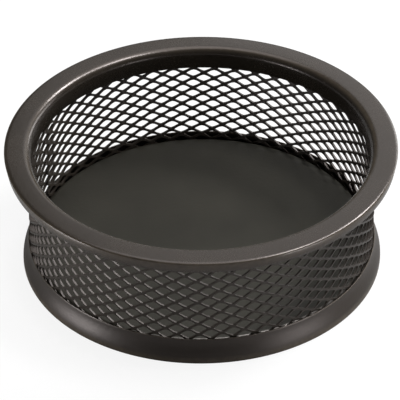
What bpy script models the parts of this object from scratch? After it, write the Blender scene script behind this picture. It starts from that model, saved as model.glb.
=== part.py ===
"""Paper clip bowl for a desk: a low round dish of black coated steel.

An expanded-metal wall is held between a formed rim at the top and a flared ring at the base,
and a plain pan closes the bottom. All sizes are in metres. +Z is up and the origin is the
middle of the base, on the surface that the bowl stands on.
"""

import math

import bmesh
import bpy

# Overall sizes
RIM_DIAMETER = 0.0950
BOWL_HEIGHT = 0.0325
RIM_OVERHANG = 0.0052
BASE_OVERHANG = 0.0019

# Metal and fits
SHEET = 0.0003
WALL_THICKNESS = 0.0006
CLEARANCE = 0.0003

# Rim: a flange with a folded edge, a collar inside the wall and a skirt outside it
RIM_EDGE_HEIGHT = 0.0007
RIM_FALL = 0.0002
RIM_CORNER = 0.0019
COLLAR_LENGTH = 0.0033
SKIRT_DEPTH = 0.0062
COVE_HEIGHT = 0.0042

# Base ring and the pan inside it
BASE_RING_HEIGHT = 0.0062
BASE_FLARE_HEIGHT = 0.0040
FOOT_WIDTH = 0.0032
FLOOR_HEIGHT = 0.0050
FLOOR_CORNER = 0.0010

# Expanded metal: a bond is the solid metal between two holes
HOLES_AROUND = 50
HOLE_ROWS = 12
BOND_LENGTH = 0.0013
BOND_HEIGHT = 0.0008
HOLE_MARGIN = 0.0001

# Faces round a turned piece, and the distance below which points are the same
SEGMENTS = 44
WELD = 0.000001

# Radii and heights that follow from the sizes above
RIM_RADIUS = RIM_DIAMETER / 2
WALL_OUTSIDE = RIM_RADIUS - RIM_OVERHANG
WALL_INSIDE = WALL_OUTSIDE - WALL_THICKNESS
RING_INSIDE = WALL_OUTSIDE + CLEARANCE
RING_OUTSIDE = RING_INSIDE + SHEET
COLLAR_OUTSIDE = WALL_INSIDE - CLEARANCE
COLLAR_INSIDE = COLLAR_OUTSIDE - SHEET
BASE_RADIUS = WALL_OUTSIDE + BASE_OVERHANG
SKIRT_BOTTOM = BOWL_HEIGHT - SKIRT_DEPTH
CORNER_CENTRE = COLLAR_INSIDE + RIM_CORNER
CORNER_HEIGHT = BOWL_HEIGHT - RIM_CORNER

COAT_COLOUR = (0.035, 0.033, 0.030, 1.0)


def clear_scene():
    for obj in list(bpy.data.objects):
        bpy.data.objects.remove(obj, do_unlink=True)


def coated_steel(name, roughness):
    """Black powder coat on steel."""
    material = bpy.data.materials.new(name)
    material.use_nodes = True
    shader = material.node_tree.nodes["Principled BSDF"]
    shader.inputs["Base Color"].default_value = COAT_COLOUR
    shader.inputs["Roughness"].default_value = roughness
    shader.inputs["Metallic"].default_value = 0.0
    return material


def arc(centre, radii, start, end, steps):
    """Points on an ellipse's arc as (radius, height); angles are in degrees from outwards."""
    angles = [math.radians(start + (end - start) * k / steps) for k in range(steps + 1)]
    return [(centre[0] + radii[0] * math.cos(a), centre[1] + radii[1] * math.sin(a)) for a in angles]


def turned(name, profile, closed, material, collection):
    """A profile of (radius, height) points, outer side first and downwards, turned round Z."""
    outline = bpy.data.meshes.new(name + "_profile")
    edges = [(k, k + 1) for k in range(len(profile) - 1)]
    if closed:
        edges.append((len(profile) - 1, 0))
    outline.from_pydata([(radius, 0.0, height) for radius, height in profile], edges, [])
    guide = bpy.data.objects.new(name + "_profile", outline)
    collection.objects.link(guide)
    screw = guide.modifiers.new("Turn", "SCREW")
    screw.axis = "Z"
    screw.steps = SEGMENTS
    screw.render_steps = SEGMENTS
    screw.use_merge_vertices = True
    screw.merge_threshold = WELD
    mesh = bpy.data.meshes.new_from_object(guide.evaluated_get(bpy.context.evaluated_depsgraph_get()))
    bpy.data.objects.remove(guide, do_unlink=True)
    bpy.data.meshes.remove(outline)
    mesh.name = name
    mesh.shade_smooth()
    mesh.set_sharp_from_angle(angle=math.radians(40))
    mesh.materials.clear()
    mesh.materials.append(material)
    obj = bpy.data.objects.new(name, mesh)
    collection.objects.link(obj)
    return obj


def make_top_rim(collection):
    """One formed sheet: collar, rounded corner, sloping flange, folded edge, cove and skirt."""
    fold_radius = RIM_EDGE_HEIGHT / 2
    edge_top = BOWL_HEIGHT - RIM_FALL
    fold = (RIM_RADIUS - fold_radius, edge_top - fold_radius)
    cove = (fold[0], edge_top - RIM_EDGE_HEIGHT - COVE_HEIGHT)
    corner = (CORNER_CENTRE, CORNER_HEIGHT)
    corner_back = RIM_CORNER - SHEET

    profile = arc(fold, (fold_radius, fold_radius), 90, -90, 2)
    profile += arc(cove, (fold[0] - RING_OUTSIDE, COVE_HEIGHT), 90, 180, 2)[1:]
    profile += [(RING_OUTSIDE, SKIRT_BOTTOM), (RING_INSIDE, SKIRT_BOTTOM)]
    profile += arc(cove, (fold[0] - RING_INSIDE, COVE_HEIGHT + SHEET), 180, 90, 2)
    profile += [(fold[0], edge_top - SHEET)]
    profile += arc(corner, (corner_back, corner_back), 90, 180, 2)
    profile += [(COLLAR_OUTSIDE, CORNER_HEIGHT - COLLAR_LENGTH)]
    profile += [(COLLAR_INSIDE, CORNER_HEIGHT - COLLAR_LENGTH)]
    profile += arc(corner, (RIM_CORNER, RIM_CORNER), 180, 90, 3)
    return turned("top_rim", profile, True, coated_steel("rim_coat", 0.42), collection)


def make_base_ring(collection):
    """A ring outside the wall that flares to the foot, with its bottom edge turned inwards."""
    flare = (BASE_RADIUS, BASE_FLARE_HEIGHT)
    foot_inside = BASE_RADIUS - FOOT_WIDTH
    flare_back = (RING_INSIDE + BASE_RADIUS - SHEET) / 2

    profile = [(RING_OUTSIDE, BASE_RING_HEIGHT)]
    profile += arc(flare, (BASE_RADIUS - RING_OUTSIDE, BASE_FLARE_HEIGHT), 180, 270, 2)
    profile += [(foot_inside, 0.0), (foot_inside, SHEET)]
    profile += [(flare_back, SHEET), (RING_INSIDE, BASE_FLARE_HEIGHT), (RING_INSIDE, BASE_RING_HEIGHT)]
    return turned("base_ring", profile, True, coated_steel("base_coat", 0.45), collection)


def make_base_pan(collection):
    """The floor: a disc inside the wall with its edge turned down to the foot."""
    wall_bottom = SHEET + CLEARANCE
    corner = (COLLAR_OUTSIDE - FLOOR_CORNER, FLOOR_HEIGHT - FLOOR_CORNER)
    corner_back = FLOOR_CORNER - SHEET

    profile = [(0.0, FLOOR_HEIGHT)]
    profile += arc(corner, (FLOOR_CORNER, FLOOR_CORNER), 90, 0, 2)
    profile += [(COLLAR_OUTSIDE, wall_bottom), (COLLAR_INSIDE, wall_bottom)]
    profile += arc(corner, (corner_back, corner_back), 0, 90, 1)
    profile += [(0.0, FLOOR_HEIGHT - SHEET)]
    return turned("base_pan", profile, False, coated_steel("pan_coat", 0.5), collection)


def expanded_strip(half_pitch, row_step, first_row, bottom, top):
    """The metal round one column of holes and the next half column, as flat faces.

    Each face is a list of (angle, height) corners, in order as seen from outside. A hole is a
    diamond whose left and right tips point round the wall.
    """
    half_hole = half_pitch - BOND_LENGTH / WALL_OUTSIDE / 2
    half_height = row_step - BOND_HEIGHT / 2
    faces = []
    for row in range(HOLE_ROWS):
        angle = half_pitch * (row % 2)
        height = first_row + row_step * row
        left = (angle - half_hole, height)
        right = (angle + half_hole, height)
        upper = (angle, height + half_height)
        lower = (angle, height - half_height)
        next_left = (left[0] + 2 * half_pitch, height)
        next_upper = (angle + 2 * half_pitch, upper[1])
        next_lower = (angle + 2 * half_pitch, lower[1])
        above = (angle + half_pitch, height + row_step - half_height)
        below = (angle + half_pitch, height - row_step + half_height)
        if row < HOLE_ROWS - 1:
            above_left = (above[0] - half_hole, height + row_step)
            above_right = (above[0] + half_hole, height + row_step)
            faces.append([right, above, above_left, upper])
            faces.append([next_upper, above_right, above, next_left])
        else:
            above = (angle + half_pitch, top)
            faces.append([right, above, upper])
            faces.append([next_left, next_upper, above])
            faces.append([upper, above, (angle - half_pitch, top)])
        if row == 0:
            below = (angle + half_pitch, bottom)
            faces.append([right, lower, below])
            faces.append([next_left, below, next_lower])
            faces.append([lower, (angle - half_pitch, bottom), below])
        faces.append([right, below, next_left, above])
    return faces


def make_mesh_wall(collection):
    """The expanded-metal wall: one strip of the pattern repeated round, then given its thickness."""
    half_pitch = math.pi / HOLES_AROUND
    open_height = SKIRT_BOTTOM - BASE_RING_HEIGHT - 2 * HOLE_MARGIN
    row_step = (open_height + BOND_HEIGHT) / (HOLE_ROWS + 1)
    first_row = BASE_RING_HEIGHT + HOLE_MARGIN + row_step - BOND_HEIGHT / 2
    strip = expanded_strip(half_pitch, row_step, first_row, SHEET + CLEARANCE, CORNER_HEIGHT)

    bm = bmesh.new()
    for corners in strip:
        places = [(WALL_OUTSIDE * math.cos(a), WALL_OUTSIDE * math.sin(a), z) for a, z in corners]
        bm.faces.new([bm.verts.new(place) for place in places])
    bmesh.ops.remove_doubles(bm, verts=bm.verts, dist=WELD)
    bmesh.ops.spin(
        bm,
        geom=bm.verts[:] + bm.edges[:] + bm.faces[:],
        axis=(0.0, 0.0, 1.0),
        cent=(0.0, 0.0, 0.0),
        angle=2 * math.pi * (HOLES_AROUND - 1) / HOLES_AROUND,
        steps=HOLES_AROUND - 1,
        use_duplicate=True,
    )
    bmesh.ops.remove_doubles(bm, verts=bm.verts, dist=WELD)
    mesh = bpy.data.meshes.new("mesh_wall")
    bm.to_mesh(mesh)
    bm.free()
    mesh.materials.append(coated_steel("mesh_coat", 0.45))
    obj = bpy.data.objects.new("mesh_wall", mesh)
    collection.objects.link(obj)
    solidify = obj.modifiers.new("Metal thickness", "SOLIDIFY")
    solidify.thickness = WALL_THICKNESS
    solidify.offset = -1.0
    return obj


def main():
    clear_scene()
    collection = bpy.data.collections.new("paper_clip_bowl")
    bpy.context.scene.collection.children.link(collection)
    make_top_rim(collection)
    make_mesh_wall(collection)
    make_base_ring(collection)
    make_base_pan(collection)


main()
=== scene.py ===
"""Paper clip bowl, dressed: fine turned metal, a rolled strip of expanded metal and powder coat.

All sizes are in metres in the part's own frame. +Z is up, and the bowl stands on z = 0.
"""

import math

import bmesh
import bpy
from mathutils import Matrix, Vector


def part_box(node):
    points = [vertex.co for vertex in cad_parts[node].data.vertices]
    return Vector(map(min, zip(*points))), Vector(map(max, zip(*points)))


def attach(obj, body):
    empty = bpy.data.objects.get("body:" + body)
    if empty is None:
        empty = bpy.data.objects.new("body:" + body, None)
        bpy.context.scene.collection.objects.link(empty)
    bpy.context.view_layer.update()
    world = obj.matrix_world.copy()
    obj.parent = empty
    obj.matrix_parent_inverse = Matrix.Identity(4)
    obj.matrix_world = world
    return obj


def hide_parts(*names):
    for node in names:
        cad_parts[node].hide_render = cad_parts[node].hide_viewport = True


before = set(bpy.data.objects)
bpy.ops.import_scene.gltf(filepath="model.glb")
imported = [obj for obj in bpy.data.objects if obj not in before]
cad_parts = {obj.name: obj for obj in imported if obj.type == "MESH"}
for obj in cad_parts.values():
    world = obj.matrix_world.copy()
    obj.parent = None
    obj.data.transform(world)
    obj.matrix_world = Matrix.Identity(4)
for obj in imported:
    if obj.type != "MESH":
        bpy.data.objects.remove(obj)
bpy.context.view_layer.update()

MM = 0.001

# Sheet metal: the bulge of a cut edge is a share of half of the sheet's thickness
SHEET = 0.26 * MM
CUT_BULGE = 0.45
CUT_STEPS = 6
TURN_STEPS = 192
WELD = 0.000001

# Rim: a drop is down from its top, and a pull places the handle of a curve
RIM_ROLL = 1.0 * MM
RIM_ROLL_DROP = 0.42 * MM
ROLL_PULL = 0.55 * RIM_ROLL
EDGE_PULL = (0.08 * RIM_ROLL, 0.4 * RIM_ROLL_DROP)
RIM_LIP = 2.25 * MM
RIM_LIP_LEAN = 0.4 * MM
RIM_FOLD = 0.3 * MM
RIM_FALL = 0.1 * MM
RIM_CORNER = 1.9 * MM
COLLAR_INSIDE = 41.1 * MM
COLLAR_DROP = 5.55 * MM
NECK_OUTSIDE = 42.7 * MM
NECK_DROP = 4.1 * MM
NECK_PULL_UP = 1.6 * MM
NECK_PULL_DOWN = 0.5 * MM
COVE_PULL = 2.4 * MM
BEAD_OUTSIDE = 43.1 * MM
BEAD_DROP = 5.1 * MM
BEAD_PULL = 0.45 * MM
SKIRT_OUTSIDE = 42.8 * MM
SKIRT_DROP = 6.05 * MM
SKIRT_SHOULDER = (0.15 * MM, 0.4 * MM)

# Base ring: its side rises upright from the foot's fold and leans in towards its top edge
RING_TOP_OUTSIDE = 42.7 * MM
RING_TOP_PULL = (0.2 * MM, 2.3 * MM)
FLARE_HEIGHT = 2.5 * MM
FOOT_FOLD = 0.35 * MM
FOOT_INSIDE = 41.0 * MM

# Floor pan, with the rings of points on its flat side
PAN_OUTSIDE = 41.35 * MM
PAN_CORNER = 1.0 * MM
PAN_BOTTOM = 0.6 * MM
PAN_RINGS = [radius * MM for radius in (36, 30, 22, 14, 7, 2, 0)]

# Expanded metal: half of the pitch along the strip, and the step from row to row
HALF_PITCH = 2.645 * MM
ROW_STEP = 1.566 * MM
HOLE_HALF_WIDTH = 1.98 * MM
KNUCKLE_HEIGHT = 0.88 * MM
METAL_THICKNESS = 0.45 * MM
LEAN_DEPTH = 0.11 * MM
ARCH_POWER = 1.6
POINT_POWER = 1.3
CELL_SIDES = 20
CELL_WELD = 0.00001
SHARP_EDGE = math.radians(35)

# Spare cells round the strip, and the lowest rows, which would only be trimmed off again
SPARE_COLUMNS = 2
SPARE_ROWS = 4
ROWS_LEFT_OUT = 4

# The pattern's place: how far the sheet is turned, and where one hole at the back of the bowl is
SHEET_TURN = math.radians(2.1)
KNOWN_HOLE_ANGLE = math.radians(360 + 89.29)
KNOWN_HOLE_HEIGHT = 13.83 * MM

# The strip, rolled into a ring: at the lap its first end steps outwards, and its last end inwards
WALL_RADIUS = 42.0 * MM
WALL_TILT = 0.25 * MM
SEAM_ANGLE = math.radians(150)
LAP_LENGTH = 5.8 * MM
LAP_STEP = 0.3 * MM
LAP_RAMP = 4.0 * MM
STRIP_BOTTOM = 2.6 * MM
STRIP_TOP = 30.2 * MM

# Powder coat: the scales of its noises, and how much each one changes
PEEL_SCALE = 900.0
GRAIN_SCALE = 4200.0
CLOUD_SCALE = 70.0
NOISE_MIDDLE = 0.5
CLOUD_RANGE = (0.3, 0.7)
GRAIN_HEIGHT = 0.35
TONE_RANGE = (0.85, 1.15)
GLOSS_CHANGE = 0.16
SPECK_CHANGE = 0.12
WEAR_PATCHES = 1.6
BUMP_STRENGTH = 0.5
BUMP_DEPTH = 0.00006

# Where hands and clips rub: half of each worn band's width. The pan's band is not wear but a painted
# highlight: a bright band on its edge, kept to one side near a spot
EDGE_WEAR = 0.5 * MM
CORNER_WEAR = 0.8 * MM
CORNER_WEAR_SHARE = 0.6
RING_WEAR = 0.25 * MM
PAN_GLINT_HALF_WIDTH = 0.5 * MM
PAN_GLINT_INSET = 0.4 * MM
PAN_GLINT_SPOT = (14 * MM, -39 * MM, 5 * MM)
PAN_GLINT_REACH = 36 * MM

# Finishes: a satin coat on the rim, finer and softer ones of its kind, and a matt one on the pan
SATIN = {
    "colour": (0.0185, 0.0148, 0.0108),
    "worn_or_glint": (0.056, 0.045, 0.032),
    "glint_metallic": 0.0,
    "sheen": (1.0, 0.90, 0.88),
    "roughness": 0.26,
    "grain": 0.8,
    "polish": 0.06,
    "shine": 0.50,
}
FINE_SATIN = {**SATIN, "roughness": 0.48, "shine": 0.48}
SOFT_SATIN = {**SATIN, "colour": (0.0150, 0.0115, 0.0080), "roughness": 0.43}
# The matt coat's worn colour and metallic share paint a highlight: a bright, partly metallic band on the
# pan's edge
MATT = {
    "colour": (0.0160, 0.0148, 0.0112),
    "worn_or_glint": (0.50, 0.46, 0.44),
    "glint_metallic": 0.8,
    "sheen": (1.0, 0.98, 0.92),
    "roughness": 0.48,
    "grain": 1.0,
    "polish": 0.25,
    "shine": 0.21,
}

# Studio floor: a grey that shades the bowl softly, and looks white to the camera
FLOOR_REACH = 6.0
FLOOR_DEPTH = 0.00002
FLOOR_TONE = 0.4
FLOOR_SEEN_TONE = 0.5
FLOOR_SEEN_GLOW = 0.88
FLOOR_MIRRORED_GLOW = 0.11

# Lamps: name, azimuth and elevation in degrees, distance, width, height and surface brightness
LAMP_POWER = 4.0
LAMPS = (
    ("back_panel", 73, 28, 0.60, 0.33, 0.20, 1.02),
    ("back_left_panel", 98, 28, 0.59, 0.09, 0.20, 0.50),
    ("upper_back_panel", 76, 48, 0.60, 0.36, 0.21, 0.74),
    ("top_panel", 60, 80, 1.0, 1.0, 0.7, 1.9),
    ("right_key", 34, 48, 1.1, 0.32, 0.24, 28.0),
    ("upper_key", 4, 66, 1.1, 0.32, 0.26, 18.0),
    ("right_wash", 42, 18, 0.32, 0.20, 0.08, 4.0),
    ("low_left_strip", 206, 3, 0.12, 0.05, 0.012, 22.0),
    ("low_right_strip", -41, 3, 0.12, 0.05, 0.012, 11.0),
)
ROOM_LIGHT = 0.08

# Camera: the photograph's angle, from an arm's length
CAMERA_HEIGHT = math.radians(37.44)
CAMERA_DISTANCE = 0.7
CAMERA_ROLL = math.radians(0.48)
IMAGE_SIZE = 400
PIXELS_PER_METRE = 4030
ORIGIN_PIXEL = (201.8, 250.2)
SENSOR_WIDTH = 36
NEAREST_SEEN = 0.05
FARTHEST_SEEN = 50


def add_node(tree, kind, values=None, **settings):
    """A node with its settings, and its inputs given as values or as links from other nodes."""
    made = tree.nodes.new(kind)
    for name, value in settings.items():
        setattr(made, name, value)
    for name, value in (values or {}).items():
        if isinstance(value, bpy.types.NodeSocket):
            tree.links.new(value, made.inputs[name])
        else:
            made.inputs[name].default_value = value
    return made


def math_node(tree, operation, first, second=0.0):
    """The result of one sum on two values or sockets."""
    return add_node(tree, "ShaderNodeMath", {0: first, 1: second}, operation=operation).outputs[0]


def ramp(tree, value, start, end, first, last):
    """A smooth change from the first result to the last while the value goes from start to end."""
    return add_node(
        tree,
        "ShaderNodeMapRange",
        {"Value": value, "From Min": start, "From Max": end, "To Min": first, "To Max": last},
        interpolation_type="SMOOTHSTEP",
    ).outputs[0]


def arc(centre, radius, start, end, steps):
    """Points on an arc as (radius, height); angles are in degrees from outwards."""
    angles = [math.radians(start + (end - start) * k / steps) for k in range(steps + 1)]
    return [(centre[0] + radius * math.cos(a), centre[1] + radius * math.sin(a)) for a in angles]


def blend_curve(start, start_pull, end_pull, end, steps):
    """A smooth curve of (radius, height) points that leaves and arrives along the two pulls."""
    points = []
    for k in range(steps + 1):
        t = k / steps
        weights = ((1 - t) ** 3, 3 * t * (1 - t) ** 2, 3 * t * t * (1 - t), t**3)
        corners = (start, start_pull, end_pull, end)
        points.append(tuple(sum(w * c[axis] for w, c in zip(weights, corners)) for axis in (0, 1)))
    return points


def sheet_outline(face, round_last_end):
    """The cut through a sheet whose shown face is given; the metal is on the left of its path."""
    back = []
    for k, (radius, height) in enumerate(face):
        before = face[max(k - 1, 0)]
        after = face[min(k + 1, len(face) - 1)]
        along = Vector((after[0] - before[0], after[1] - before[1])).normalized()
        back.append((radius - along.y * SHEET, height + along.x * SHEET))
    outline = list(face)
    if round_last_end:
        outline += rounded_end(face[-1], back[-1], face[-2])
    outline += back[::-1]
    outline += rounded_end(back[0], face[0], back[1])
    return outline


def rounded_end(first, last, inner):
    """A flattened half round that joins the two corners of a sheet's cut edge."""
    middle = Vector(((first[0] + last[0]) / 2, (first[1] + last[1]) / 2))
    across = Vector(first) - middle
    outwards = (Vector(first) - Vector(inner)).normalized() * across.length
    turns = [math.radians(180 * k / CUT_STEPS) for k in range(1, CUT_STEPS)]
    return [tuple(middle + across * math.cos(a) + outwards * CUT_BULGE * math.sin(a)) for a in turns]


def turned_piece(name, outline, material):
    """The closed outline turned round Z as one smooth piece; a side on the axis is left out."""
    mesh = bpy.data.meshes.new(name + "_outline")
    sides = [(k - 1, k) for k in range(1, len(outline))] + [(len(outline) - 1, 0)]
    edges = [(a, b) for a, b in sides if max(outline[a][0], outline[b][0]) > WELD]
    mesh.from_pydata([(radius, 0.0, height) for radius, height in outline], edges, [])
    guide = bpy.data.objects.new(name + "_outline", mesh)
    bpy.context.scene.collection.objects.link(guide)
    screw = guide.modifiers.new("Turn", "SCREW")
    screw.axis = "Z"
    screw.steps = TURN_STEPS
    screw.render_steps = TURN_STEPS
    screw.use_merge_vertices = True
    screw.merge_threshold = WELD
    return finished_piece(name, guide, material)


def finished_piece(name, guide, material):
    """The evaluated guide as a plain mesh with smooth faces that point outwards; the guide goes."""
    graph = bpy.context.evaluated_depsgraph_get()
    mesh = bpy.data.meshes.new_from_object(guide.evaluated_get(graph))
    bpy.data.objects.remove(guide, do_unlink=True)
    mesh.name = name
    form = bmesh.new()
    form.from_mesh(mesh)
    bmesh.ops.remove_doubles(form, verts=form.verts, dist=WELD)
    bmesh.ops.recalc_face_normals(form, faces=form.faces)
    form.to_mesh(mesh)
    form.free()
    mesh.shade_smooth()
    mesh.materials.clear()
    mesh.materials.append(material)
    piece = bpy.data.objects.new(name, mesh)
    bpy.context.scene.collection.objects.link(piece)
    return piece


def formed_rim(material):
    """One sheet: skirt, bead, neck, cove, fold, lip, flange, rounded corner and collar."""
    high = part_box("top_rim")[1]
    edge_top = high.z - RIM_FALL
    roll = (high.x - RIM_ROLL, edge_top)
    roll_pull = (high.x - ROLL_PULL, edge_top)
    edge = (high.x, edge_top - RIM_ROLL_DROP)
    edge_pull = (high.x - EDGE_PULL[0], edge_top - EDGE_PULL[1])
    fold = (high.x - RIM_LIP_LEAN - RIM_FOLD, edge[1] - RIM_LIP)
    corner = (COLLAR_INSIDE + RIM_CORNER, high.z - RIM_CORNER)
    neck = (NECK_OUTSIDE, high.z - NECK_DROP)
    bead = (BEAD_OUTSIDE, high.z - BEAD_DROP)
    bead_pull = (BEAD_OUTSIDE, bead[1] + BEAD_PULL)
    neck_under = (neck[0], neck[1] - NECK_PULL_DOWN)
    neck_over = (neck[0], neck[1] + NECK_PULL_UP)
    cove_start = (fold[0], fold[1] - RIM_FOLD)
    cove_pull = (fold[0] - COVE_PULL, cove_start[1])

    face = [(SKIRT_OUTSIDE, high.z - SKIRT_DROP)]
    face += [(SKIRT_OUTSIDE + SKIRT_SHOULDER[0], bead[1] - SKIRT_SHOULDER[1])]
    face += blend_curve(bead, bead_pull, neck_under, neck, steps=8)
    face += blend_curve(neck, neck_over, cove_pull, cove_start, steps=12)[1:]
    face += arc(fold, RIM_FOLD, -90, 0, steps=7)[1:]
    face += blend_curve(edge, edge_pull, roll_pull, roll, steps=10)
    face += arc(corner, RIM_CORNER, 90, 180, steps=14)
    face += [(COLLAR_INSIDE, high.z - COLLAR_DROP)]
    return turned_piece("formed_rim", sheet_outline(face, round_last_end=True), material)


def flared_ring(material):
    """A turned-in foot, a small fold at the widest place, and a rounded side up to the top edge."""
    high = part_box("base_ring")[1]
    fold = (high.x - FOOT_FOLD, FOOT_FOLD)
    top = (RING_TOP_OUTSIDE, high.z)
    top_pull = (top[0] + RING_TOP_PULL[0], top[1] - RING_TOP_PULL[1])
    widest = (high.x, FOOT_FOLD)
    widest_pull = (high.x, FLARE_HEIGHT)

    face = [(FOOT_INSIDE, 0.0)]
    face += arc(fold, FOOT_FOLD, -90, 0, steps=8)
    face += blend_curve(widest, widest_pull, top_pull, top, steps=14)[1:]
    return turned_piece("flared_ring", sheet_outline(face, round_last_end=True), material)


def floor_pan(material):
    """A flat floor with its edge rounded and turned down."""
    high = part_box("base_pan")[1]
    corner = (PAN_OUTSIDE - PAN_CORNER, high.z - PAN_CORNER)
    face = [(PAN_OUTSIDE, PAN_BOTTOM)]
    face += arc(corner, PAN_CORNER, 0, 90, steps=8)
    face += [(radius, high.z) for radius in PAN_RINGS]
    return turned_piece("floor_pan", sheet_outline(face, round_last_end=False), material)


def hole_cell():
    """The metal round one hole, flat and without thickness: x along the strip, y up, z outwards.

    Its border is half of each strand. The metal above the hole leans inwards at its lower edge,
    and the metal below the hole leans outwards at its upper edge.
    """
    half_height = ROW_STEP - KNUCKLE_HEIGHT / 2
    quarter = CELL_SIDES / 4
    border = []
    edge = []
    for k in range(CELL_SIDES):
        turn = k / quarter
        along = abs(((turn + 2) % 4) - 2)
        side = 1 if turn < 2 else -1
        border.append((HALF_PITCH * (1 - along), side * ROW_STEP * (1 - abs(1 - along)), 0.0))
        across = math.cos(turn * math.pi / 2)
        power = ARCH_POWER if side > 0 else POINT_POWER
        rise = side * (1 - abs(across) ** power)
        edge.append((HOLE_HALF_WIDTH * across, half_height * rise, -LEAN_DEPTH * rise))

    mesh = bpy.data.meshes.new("hole_cell")
    form = bmesh.new()
    outer = [form.verts.new(place) for place in border]
    inner = [form.verts.new(place) for place in edge]
    for k in range(CELL_SIDES):
        after = (k + 1) % CELL_SIDES
        form.faces.new((outer[k], outer[after], inner[after], inner[k]))
    bmesh.ops.translate(form, verts=form.verts, vec=(0.0, 0.0, METAL_THICKNESS / 2))
    form.to_mesh(mesh)
    form.free()
    return bpy.data.objects.new("hole_cell", mesh)


def strip_tree():
    """Geometry nodes that lay out the cells, trim the strip, thicken it and roll it into a ring."""
    tree = bpy.data.node_groups.new("rolled_expanded_metal", "GeometryNodeTree")
    tree.is_modifier = True
    sockets = {
        "Cell": "NodeSocketObject",
        "Columns": "NodeSocketInt",
        "Rows": "NodeSocketInt",
        "Half Pitch": "NodeSocketFloat",
        "Row Step": "NodeSocketFloat",
        "Corner": "NodeSocketVector",
        "Sheet Turn": "NodeSocketFloat",
        "Strip Length": "NodeSocketFloat",
        "Strip Bottom": "NodeSocketFloat",
        "Strip Top": "NodeSocketFloat",
        "Metal Thickness": "NodeSocketFloat",
        "Wall Radius": "NodeSocketFloat",
        "Seam Angle": "NodeSocketFloat",
        "Lap Length": "NodeSocketFloat",
        "Lap Step": "NodeSocketFloat",
        "Lap Ramp": "NodeSocketFloat",
        "Wall Tilt": "NodeSocketFloat",
        "Coat": "NodeSocketMaterial",
    }
    for name, kind in sockets.items():
        tree.interface.new_socket(name=name, in_out="INPUT", socket_type=kind)
    tree.interface.new_socket(name="Geometry", in_out="OUTPUT", socket_type="NodeSocketGeometry")
    given = tree.nodes.new("NodeGroupInput").outputs
    sheet = laid_out_cells(tree, given)
    sheet = trimmed_sheet(tree, given, sheet)
    sheet = thickened_sheet(tree, given, sheet)
    sheet = rolled_sheet(tree, given, sheet)
    covered = add_node(tree, "GeometryNodeSetMaterial", {"Geometry": sheet, "Material": given["Coat"]})
    add_node(tree, "NodeGroupOutput", {"Geometry": covered.outputs[0]})
    return tree


def laid_out_cells(tree, given):
    """A cell on each point of a grid whose odd rows are half a pitch along, welded to one sheet."""
    pitch = math_node(tree, "MULTIPLY", given["Half Pitch"], 2.0)
    last_column = math_node(tree, "SUBTRACT", given["Columns"], 1.0)
    last_row = math_node(tree, "SUBTRACT", given["Rows"], 1.0)
    width = math_node(tree, "MULTIPLY", pitch, last_column)
    height = math_node(tree, "MULTIPLY", given["Row Step"], last_row)
    grid = add_node(
        tree,
        "GeometryNodeMeshGrid",
        {"Size X": width, "Size Y": height, "Vertices X": given["Columns"], "Vertices Y": given["Rows"]},
    )
    index = add_node(tree, "GeometryNodeInputIndex").outputs[0]
    row = math_node(tree, "FLOORED_MODULO", index, given["Rows"])
    odd = math_node(tree, "FLOORED_MODULO", row, 2.0)
    shift = math_node(tree, "MULTIPLY", odd, given["Half Pitch"])
    from_corner = math_node(tree, "MULTIPLY", width, 0.5)
    along = math_node(tree, "ADD", from_corner, shift)
    up = math_node(tree, "MULTIPLY", height, 0.5)
    offset = add_node(tree, "ShaderNodeCombineXYZ", {"X": along, "Y": up}).outputs[0]
    points = add_node(tree, "GeometryNodeSetPosition", {"Geometry": grid.outputs[0], "Offset": offset})
    cell = add_node(tree, "GeometryNodeObjectInfo", {"Object": given["Cell"]})
    placed = add_node(
        tree,
        "GeometryNodeInstanceOnPoints",
        {"Points": points.outputs[0], "Instance": cell.outputs["Geometry"]},
    )
    real = add_node(tree, "GeometryNodeRealizeInstances", {"Geometry": placed.outputs[0]})
    return welded(tree, real.outputs[0])


def welded(tree, sheet):
    """The sheet with the points that meet made one."""
    weld = add_node(tree, "GeometryNodeMergeByDistance", {"Geometry": sheet, "Distance": CELL_WELD})
    return weld.outputs[0]


def trimmed_sheet(tree, given, sheet):
    """The sheet turned a little, as it was cut from its coil, and trimmed to the strip."""
    position = add_node(tree, "GeometryNodeInputPosition").outputs[0]
    turned = add_node(
        tree,
        "ShaderNodeVectorRotate",
        {"Vector": position, "Angle": given["Sheet Turn"]},
        rotation_type="Z_AXIS",
    ).outputs[0]
    moved = add_node(tree, "ShaderNodeVectorMath", {0: turned, 1: given["Corner"]}, operation="ADD")
    laid = add_node(tree, "GeometryNodeSetPosition", {"Geometry": sheet, "Position": moved.outputs[0]})
    moved_place = add_node(tree, "GeometryNodeInputPosition").outputs[0]
    place = add_node(tree, "ShaderNodeSeparateXYZ", {0: moved_place})
    before = math_node(tree, "LESS_THAN", place.outputs["X"], 0.0)
    beyond = math_node(tree, "GREATER_THAN", place.outputs["X"], given["Strip Length"])
    under = math_node(tree, "LESS_THAN", place.outputs["Y"], given["Strip Bottom"])
    over = math_node(tree, "GREATER_THAN", place.outputs["Y"], given["Strip Top"])
    ends = math_node(tree, "MAXIMUM", before, beyond)
    edges = math_node(tree, "MAXIMUM", under, over)
    waste = math_node(tree, "MAXIMUM", ends, edges)
    cut = add_node(tree, "GeometryNodeDeleteGeometry", {"Geometry": laid.outputs[0], "Selection": waste})
    return cut.outputs[0]


def thickened_sheet(tree, given, sheet):
    """A closed shell: the outer face, and an inner face joined to it round each hole and edge."""
    inwards = math_node(tree, "MULTIPLY", given["Metal Thickness"], -1.0)
    offset = add_node(tree, "ShaderNodeCombineXYZ", {"Z": inwards}).outputs[0]
    inner = add_node(
        tree,
        "GeometryNodeExtrudeMesh",
        {"Mesh": sheet, "Offset": offset, "Offset Scale": 1.0, "Individual": False},
        mode="FACES",
    )
    flipped = add_node(tree, "GeometryNodeFlipFaces", {"Mesh": inner.outputs["Mesh"]})
    joined = tree.nodes.new("GeometryNodeJoinGeometry")
    tree.links.new(sheet, joined.inputs[0])
    tree.links.new(flipped.outputs[0], joined.inputs[0])
    return welded(tree, joined.outputs[0])


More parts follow.
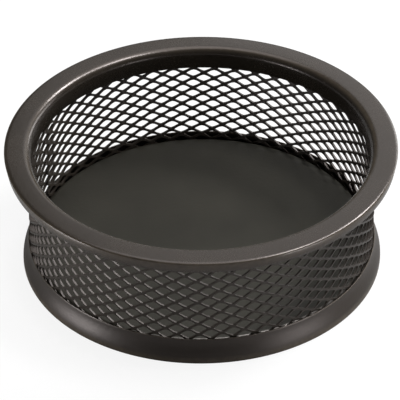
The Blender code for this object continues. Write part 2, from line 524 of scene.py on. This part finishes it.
def rolled_sheet(tree, given, sheet):
    """The strip rolled round Z, a little askew; at the lap its first end passes outside its last."""
    position = add_node(tree, "GeometryNodeInputPosition").outputs[0]
    place = add_node(tree, "ShaderNodeSeparateXYZ", {0: position})
    along = place.outputs["X"]
    first_ramp_end = math_node(tree, "ADD", given["Lap Length"], given["Lap Ramp"])
    once_round = math_node(tree, "MULTIPLY", given["Wall Radius"], 2 * math.pi)
    last_ramp_start = math_node(tree, "SUBTRACT", once_round, given["Lap Ramp"])
    outwards = ramp(tree, along, given["Lap Length"], first_ramp_end, given["Lap Step"], 0.0)
    inwards = ramp(tree, along, last_ramp_start, once_round, 0.0, given["Lap Step"])
    lap = math_node(tree, "SUBTRACT", outwards, inwards)
    depth = math_node(tree, "ADD", place.outputs["Z"], lap)
    radius = math_node(tree, "ADD", given["Wall Radius"], depth)
    turn = math_node(tree, "DIVIDE", along, given["Wall Radius"])
    angle = math_node(tree, "ADD", turn, given["Seam Angle"])
    cosine = math_node(tree, "COSINE", angle)
    tilt = math_node(tree, "MULTIPLY", given["Wall Tilt"], cosine)
    level = math_node(tree, "ADD", place.outputs["Y"], tilt)
    out_x = math_node(tree, "MULTIPLY", radius, cosine)
    out_y = math_node(tree, "MULTIPLY", radius, math_node(tree, "SINE", angle))
    round_z = add_node(tree, "ShaderNodeCombineXYZ", {"X": out_x, "Y": out_y, "Z": level})
    rolled = add_node(tree, "GeometryNodeSetPosition", {"Geometry": sheet, "Position": round_z.outputs[0]})
    return rolled.outputs[0]


def mesh_wall_strip(material):
    """The expanded-metal wall, made by its tree from one cell; the known hole places the pattern."""
    strip_length = 2 * math.pi * WALL_RADIUS + LAP_LENGTH
    known = Vector((WALL_RADIUS * (KNOWN_HOLE_ANGLE - SEAM_ANGLE), KNOWN_HOLE_HEIGHT, 0.0))
    columns_before = int(known.x / (2 * HALF_PITCH)) + SPARE_COLUMNS
    columns = int(strip_length / (2 * HALF_PITCH)) + 2 * SPARE_COLUMNS
    pairs_below = int(known.x * math.sin(SHEET_TURN) / ROW_STEP / 2 + known.y / ROW_STEP / 2)
    rows_below = 2 * pairs_below - ROWS_LEFT_OUT
    rows = int((strip_length * math.sin(SHEET_TURN) + STRIP_TOP) / ROW_STEP) + SPARE_ROWS
    back_to_corner = Vector((-2 * HALF_PITCH * columns_before, -ROW_STEP * rows_below, 0.0))
    back_to_corner.rotate(Matrix.Rotation(SHEET_TURN, 3, "Z"))

    cell = hole_cell()
    bpy.context.scene.collection.objects.link(cell)
    tree = strip_tree()
    guide = bpy.data.objects.new("mesh_wall_guide", bpy.data.meshes.new("mesh_wall_guide"))
    bpy.context.scene.collection.objects.link(guide)
    modifier = guide.modifiers.new("Rolled expanded metal", "NODES")
    modifier.node_group = tree
    values = {
        "Cell": cell,
        "Columns": columns,
        "Rows": rows,
        "Half Pitch": HALF_PITCH,
        "Row Step": ROW_STEP,
        "Corner": known + back_to_corner,
        "Sheet Turn": SHEET_TURN,
        "Strip Length": strip_length,
        "Strip Bottom": STRIP_BOTTOM,
        "Strip Top": STRIP_TOP,
        "Metal Thickness": METAL_THICKNESS,
        "Wall Radius": WALL_RADIUS,
        "Seam Angle": SEAM_ANGLE,
        "Lap Length": LAP_LENGTH,
        "Lap Step": LAP_STEP,
        "Lap Ramp": LAP_RAMP,
        "Wall Tilt": WALL_TILT,
        "Coat": material,
    }
    for item in tree.interface.items_tree:
        if item.in_out == "INPUT":
            modifier[item.identifier] = values[item.name]
    piece = finished_piece("mesh_strip", guide, material)
    piece.data.set_sharp_from_angle(angle=SHARP_EDGE)
    bpy.data.objects.remove(cell, do_unlink=True)
    return piece


def noise(tree, place, scale, detail):
    """The value of one noise at a place."""
    values = {"Vector": place, "Scale": scale, "Detail": detail}
    return add_node(tree, "ShaderNodeTexNoise", values).outputs[0]


def coat_group():
    """Powder coat: orange peel, fine grain, slow changes of tone and gloss, and places mixed to a second
    colour: worn places, and on the pan a painted highlight.
    """
    tree = bpy.data.node_groups.new("powder_coat", "ShaderNodeTree")
    for name, kind in (
        ("Place", "NodeSocketVector"),
        ("Colour", "NodeSocketColor"),
        ("Worn Or Glint Colour", "NodeSocketColor"),
        ("Wear Or Glint", "NodeSocketFloat"),
        ("Roughness", "NodeSocketFloat"),
        ("Grain", "NodeSocketFloat"),
        ("Polish", "NodeSocketFloat"),
    ):
        tree.interface.new_socket(name=name, in_out="INPUT", socket_type=kind)
    for name, kind in (
        ("Colour", "NodeSocketColor"),
        ("Roughness", "NodeSocketFloat"),
        ("Height", "NodeSocketFloat"),
    ):
        tree.interface.new_socket(name=name, in_out="OUTPUT", socket_type=kind)
    given = tree.nodes.new("NodeGroupInput").outputs

    peel = noise(tree, given["Place"], PEEL_SCALE, detail=2.0)
    grain = noise(tree, given["Place"], GRAIN_SCALE, detail=2.0)
    cloud = noise(tree, given["Place"], CLOUD_SCALE, detail=3.0)

    fine = math_node(tree, "MULTIPLY", grain, GRAIN_HEIGHT)
    height = math_node(tree, "MULTIPLY", math_node(tree, "ADD", peel, fine), given["Grain"])

    tone = add_node(
        tree,
        "ShaderNodeMapRange",
        {
            "Value": cloud,
            "From Min": CLOUD_RANGE[0],
            "From Max": CLOUD_RANGE[1],
            "To Min": TONE_RANGE[0],
            "To Max": TONE_RANGE[1],
        },
    ).outputs[0]
    toned = add_node(tree, "ShaderNodeVectorMath", {0: given["Colour"], "Scale": tone}, operation="SCALE")
    # The second colour marks wear on the rim and ring, and a painted highlight on the pan
    patches = math_node(tree, "MULTIPLY", peel, WEAR_PATCHES)
    patchy = math_node(tree, "MULTIPLY", given["Wear Or Glint"], patches)
    worn_or_glint = add_node(tree, "ShaderNodeMix", {0: patchy}, data_type="RGBA")
    tree.links.new(toned.outputs[0], worn_or_glint.inputs["A"])
    tree.links.new(given["Worn Or Glint Colour"], worn_or_glint.inputs["B"])

    gloss = math_node(tree, "MULTIPLY", math_node(tree, "SUBTRACT", cloud, NOISE_MIDDLE), GLOSS_CHANGE)
    speck = math_node(tree, "MULTIPLY", math_node(tree, "SUBTRACT", grain, NOISE_MIDDLE), SPECK_CHANGE)
    rough = math_node(tree, "ADD", given["Roughness"], math_node(tree, "ADD", gloss, speck))
    rubbed_or_glint = math_node(tree, "SUBTRACT", rough, math_node(tree, "MULTIPLY", patchy, given["Polish"]))
    add_node(
        tree,
        "NodeGroupOutput",
        {"Colour": worn_or_glint.outputs["Result"], "Roughness": rubbed_or_glint, "Height": height},
    )
    return tree


def coated(name, group, finish, wear_or_glint=None):
    """A powder-coat material; its last argument adds a mask to the tree, of rubbed places or of a painted
    highlight.
    """
    material = bpy.data.materials.new(name)
    material.use_nodes = True
    tree = material.node_tree
    place = add_node(tree, "ShaderNodeTexCoord").outputs["Object"]
    rubbed_or_glint = wear_or_glint(tree, place) if wear_or_glint else 0.0
    values = {
        "Place": place,
        "Colour": (*finish["colour"], 1.0),
        "Worn Or Glint Colour": (*finish["worn_or_glint"], 1.0),
        "Wear Or Glint": rubbed_or_glint,
        "Roughness": finish["roughness"],
        "Grain": finish["grain"],
        "Polish": finish["polish"],
    }
    coat = add_node(tree, "ShaderNodeGroup", values, node_tree=group)
    bump = add_node(
        tree,
        "ShaderNodeBump",
        {"Height": coat.outputs["Height"], "Strength": BUMP_STRENGTH, "Distance": BUMP_DEPTH},
    )
    shader = tree.nodes["Principled BSDF"]
    tree.links.new(coat.outputs["Colour"], shader.inputs["Base Color"])
    tree.links.new(coat.outputs["Roughness"], shader.inputs["Roughness"])
    tree.links.new(bump.outputs[0], shader.inputs["Normal"])
    shader.inputs["Metallic"].default_value = 0.0
    # On the pan this makes the painted highlight's band metallic
    if finish["glint_metallic"]:
        tree.links.new(math_node(tree, "MULTIPLY", rubbed_or_glint, finish["glint_metallic"]), shader.inputs["Metallic"])
    shader.inputs["Specular IOR Level"].default_value = finish["shine"]
    shader.inputs["Specular Tint"].default_value = (*finish["sheen"], 1.0)
    return material


def from_axis(tree, place):
    """How far a point is from the bowl's axis."""
    apart = add_node(tree, "ShaderNodeSeparateXYZ", {0: place}).outputs
    flat = add_node(tree, "ShaderNodeCombineXYZ", {"X": apart["X"], "Y": apart["Y"]}).outputs[0]
    return add_node(tree, "ShaderNodeVectorMath", {0: flat}, operation="LENGTH").outputs["Value"]


def band(tree, value, middle, half_width):
    """1 in the middle of a band, falling to 0 at its two sides."""
    away = math_node(tree, "ABSOLUTE", math_node(tree, "SUBTRACT", value, middle))
    return ramp(tree, away, 0.0, half_width, 1.0, 0.0)


def rim_wear(tree, place):
    """Handling polishes the folded edge and the inner corner."""
    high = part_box("top_rim")[1]
    radius = from_axis(tree, place)
    outer = band(tree, radius, high.x, EDGE_WEAR)
    inner = band(tree, radius, COLLAR_INSIDE + RIM_CORNER / 2, CORNER_WEAR)
    return math_node(tree, "MAXIMUM", outer, math_node(tree, "MULTIPLY", inner, CORNER_WEAR_SHARE))


def ring_wear(tree, place):
    """The widest place of the foot and the ring's top edge rub first."""
    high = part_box("base_ring")[1]
    height = add_node(tree, "ShaderNodeSeparateXYZ", {0: place}).outputs["Z"]
    foot = band(tree, from_axis(tree, place), high.x, RING_WEAR)
    top = band(tree, height, high.z, RING_WEAR)
    return math_node(tree, "MAXIMUM", foot, top)


def pan_painted_glint(tree, place):
    """A painted highlight: a bright, partly metallic band on the rounded edge, on one side only."""
    edge = band(tree, from_axis(tree, place), PAN_OUTSIDE - PAN_GLINT_INSET, PAN_GLINT_HALF_WIDTH)
    away = add_node(tree, "ShaderNodeVectorMath", {0: place, 1: PAN_GLINT_SPOT}, operation="DISTANCE")
    side = band(tree, away.outputs["Value"], 0.0, PAN_GLINT_REACH)
    return math_node(tree, "MULTIPLY", edge, side)


def studio_floor():
    """A wide pale floor that reads white and keeps the bowl's shadow."""
    mesh = bpy.data.meshes.new("studio_floor")
    sides = ((-1, -1), (1, -1), (1, 1), (-1, 1))
    corners = [(x * FLOOR_REACH, y * FLOOR_REACH, -FLOOR_DEPTH) for x, y in sides]
    mesh.from_pydata(corners, [], [(0, 1, 2, 3)])
    material = bpy.data.materials.new("pale_floor")
    material.use_nodes = True
    tree = material.node_tree
    tree.nodes.clear()
    path = add_node(tree, "ShaderNodeLightPath").outputs
    seen_tone = math_node(tree, "MULTIPLY", path["Is Camera Ray"], FLOOR_SEEN_TONE)
    tone = math_node(tree, "ADD", seen_tone, FLOOR_TONE)
    paper = add_node(tree, "ShaderNodeBsdfDiffuse", {"Color": tone})
    white = add_node(tree, "ShaderNodeEmission", {"Color": (1.0, 1.0, 1.0, 1.0), "Strength": 1.0})
    mirrored = math_node(tree, "MAXIMUM", path["Is Glossy Ray"], path["Is Transmission Ray"])
    seen_glow = math_node(tree, "MULTIPLY", path["Is Camera Ray"], FLOOR_SEEN_GLOW)
    mirrored_glow = math_node(tree, "MULTIPLY", mirrored, FLOOR_MIRRORED_GLOW)
    share = math_node(tree, "MAXIMUM", seen_glow, mirrored_glow)
    mixed = add_node(tree, "ShaderNodeMixShader", {0: share, 1: paper.outputs[0], 2: white.outputs[0]})
    add_node(tree, "ShaderNodeOutputMaterial", {"Surface": mixed.outputs[0]})
    mesh.materials.append(material)
    floor = bpy.data.objects.new("studio_floor", mesh)
    bpy.context.scene.collection.objects.link(floor)


def softbox(name, azimuth, elevation, distance, width, height, brightness):
    """A soft lamp that faces the bowl; angles are in degrees, azimuth from +X towards +Y."""
    lamp = bpy.data.lights.new(name, "AREA")
    lamp.shape = "RECTANGLE"
    lamp.size = width
    lamp.size_y = height
    lamp.energy = LAMP_POWER * width * height * brightness
    around = math.radians(azimuth)
    up = math.radians(elevation)
    towards = Vector((math.cos(around) * math.cos(up), math.sin(around) * math.cos(up), math.sin(up)))
    box = bpy.data.objects.new(name, lamp)
    box.location = towards * distance
    box.rotation_euler = towards.to_track_quat("Z", "Y").to_euler()
    box.visible_camera = False
    bpy.context.scene.collection.objects.link(box)


def studio_light():
    """The lamps, in a dim room that looks white to the camera."""
    for lamp in LAMPS:
        softbox(*lamp)
    world = bpy.data.worlds.new("dim_room")
    bpy.context.scene.world = world
    world.use_nodes = True
    background = world.node_tree.nodes["Background"]
    background.inputs["Color"].default_value = (1.0, 1.0, 1.0, 1.0)
    seen = add_node(world.node_tree, "ShaderNodeLightPath").outputs["Is Camera Ray"]
    strength = math_node(world.node_tree, "MAXIMUM", seen, ROOM_LIGHT)
    world.node_tree.links.new(strength, background.inputs["Strength"])


def photo_camera():
    """The photograph's angle and framing on a square image."""
    forward = Vector((0.0, math.cos(CAMERA_HEIGHT), -math.sin(CAMERA_HEIGHT)))
    level = Vector((1.0, 0.0, 0.0))
    upright = level.cross(forward)
    right = level * math.cos(CAMERA_ROLL) - upright * math.sin(CAMERA_ROLL)
    up = level * math.sin(CAMERA_ROLL) + upright * math.cos(CAMERA_ROLL)
    data = bpy.data.cameras.new("photo_camera")
    data.sensor_width = SENSOR_WIDTH
    data.lens = SENSOR_WIDTH * PIXELS_PER_METRE * CAMERA_DISTANCE / IMAGE_SIZE
    data.shift_x = 0.5 - ORIGIN_PIXEL[0] / IMAGE_SIZE
    data.shift_y = ORIGIN_PIXEL[1] / IMAGE_SIZE - 0.5
    data.clip_start = NEAREST_SEEN
    data.clip_end = FARTHEST_SEEN
    camera = bpy.data.objects.new("photo_camera", data)
    turn = Matrix((right, up, -forward)).transposed().to_4x4()
    camera.matrix_world = Matrix.Translation(-forward * CAMERA_DISTANCE) @ turn
    bpy.context.scene.collection.objects.link(camera)
    bpy.context.scene.camera = camera


def dress_bowl():
    """Each piece with its finish, riding on the part's one body in place of its CAD node."""
    coat = coat_group()
    rim_coat = coated("rim_coat", coat, SATIN, rim_wear)
    mesh_coat = coated("mesh_coat", coat, FINE_SATIN)
    base_coat = coated("base_coat", coat, SOFT_SATIN, ring_wear)
    # The pan's coat carries a painted highlight on its edge
    pan_coat = coated("pan_coat", coat, MATT, pan_painted_glint)
    made = (
        (formed_rim(rim_coat), "top_rim", "rim_coat"),
        (mesh_wall_strip(mesh_coat), "mesh_wall", "mesh_coat"),
        (flared_ring(base_coat), "base_ring", "base_coat"),
        (floor_pan(pan_coat), "base_pan", "pan_coat"),
    )
    for piece, node, slot in made:
        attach(piece, "root")
        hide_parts(node)


dress_bowl()
studio_floor()
studio_light()
photo_camera()
bpy.context.scene.view_settings.view_transform = "Standard"
